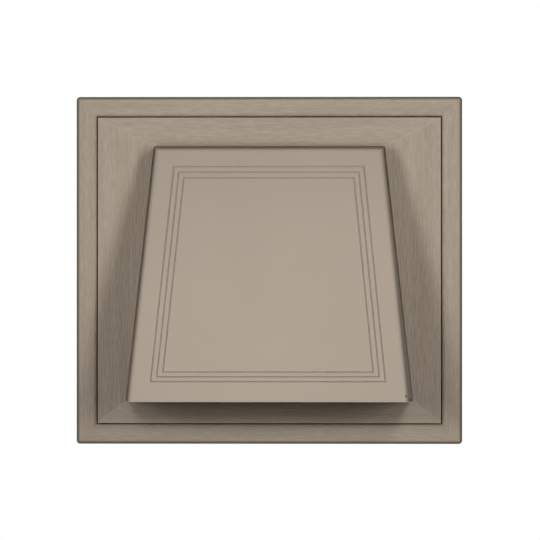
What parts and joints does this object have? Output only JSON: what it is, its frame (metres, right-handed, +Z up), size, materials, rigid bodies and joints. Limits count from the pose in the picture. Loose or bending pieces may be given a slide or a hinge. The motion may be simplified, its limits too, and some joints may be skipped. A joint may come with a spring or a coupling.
{
  "type": "hooded vent",
  "caption": "Rectangular siding vent with a clip-on grained trim ring, a dished base, a wedge hood and a gravity damper flap over a round duct collar.",
  "frame": {"origin": "on the axis of the duct collar, at the face of the wall", "axes": "+X to the right seen from the front, +Y into the wall along the duct, +Z up"},
  "size_m": [0.305, 0.135, 0.2745],
  "materials": {
    "grained_plastic": "wood-grain embossed, matte",
    "smooth_plastic": "fine matte",
    "plain_plastic": "smooth moulded",
    "pin_steel": "drawn steel"
  },
  "bodies": {
    "vent": {"trim_ring": "grained_plastic", "mounting_base": "grained_plastic", "hood": "smooth_plastic", "pest_screen": "plain_plastic", "duct_collar": "plain_plastic", "hinge_pin": "pin_steel"},
    "damper": {"damper_flap": "plain_plastic"}
  },
  "joints": [
    {"name": "damper_hinge", "type": "hinge", "parent": "vent", "child": "damper", "pos_m": [0, -0.01752, 0.08027], "axis": [-1, 0, 0], "range_deg": [0, 20]}
  ]
}
